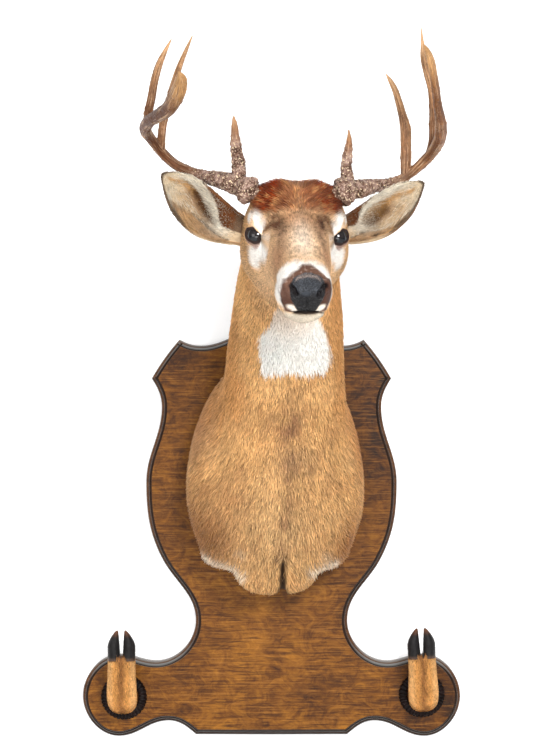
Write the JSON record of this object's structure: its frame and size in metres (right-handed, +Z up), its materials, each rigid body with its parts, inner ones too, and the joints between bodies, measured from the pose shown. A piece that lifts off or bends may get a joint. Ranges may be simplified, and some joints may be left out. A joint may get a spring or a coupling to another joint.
{
  "type": "deer shoulder mount",
  "caption": "Antlered whitetail buck head, neck and shoulders on a dark stained shield-shaped wooden plaque with upturned deer-foot hooks at its lower corners; hangs flat on a wall.",
  "frame": {"origin": "middle of the plaque's back face, on the wall", "axes": "+Z up, +Y into the wall so the head looks out along -Y, +X across the plaque to the viewer's right"},
  "size_m": [0.5746, 0.5279, 1.0292],
  "materials": {
    "hair": "short deer hair, tan to reddish brown, white at the throat, muzzle and eyes",
    "ear_hair": "thin skin with brown hair outside and cream hair inside",
    "eye_glass": "dark polished glass eye",
    "antler_base": "rough pearled antler, purplish brown with cream knobs",
    "antler": "grooved antler, brown to tan",
    "antler_tip": "smooth worn antler, golden tan",
    "horn": "dark hoof horn, faintly ridged",
    "rosette_leather": "black pleated trim, semi-gloss",
    "stained_wood": "dark walnut stain with satin varnish and a near-black moulded edge"
  },
  "bodies": {
    "root": {"antler_l_base": "antler_base", "antler_l_beam": "antler", "antler_l_beam_end": "antler_tip", "antler_l_brow_tine": "antler", "antler_l_second_tine": "antler", "antler_l_third_tine": "antler", "antler_r_base": "antler_base", "antler_r_beam": "antler", "antler_r_beam_end": "antler_tip", "antler_r_brow_tine": "antler", "antler_r_second_tine": "antler", "antler_r_third_tine": "antler", "dewclaw_l_inner": "horn", "dewclaw_l_outer": "horn", "dewclaw_r_inner": "horn", "dewclaw_r_outer": "horn", "ear_l": "ear_hair", "ear_r": "ear_hair", "eye_l": "eye_glass", "eye_r": "eye_glass", "foot_pastern_l": "hair", "foot_pastern_r": "hair", "foot_shank_l": "hair", "foot_shank_r": "hair", "head": "hair", "hoof_l_inner": "horn", "hoof_l_outer": "horn", "hoof_r_inner": "horn", "hoof_r_outer": "horn", "neck": "hair", "plaque": "stained_wood", "rosette_l": "rosette_leather", "rosette_r": "rosette_leather", "trunk": "hair"}
  },
  "joints": []
}
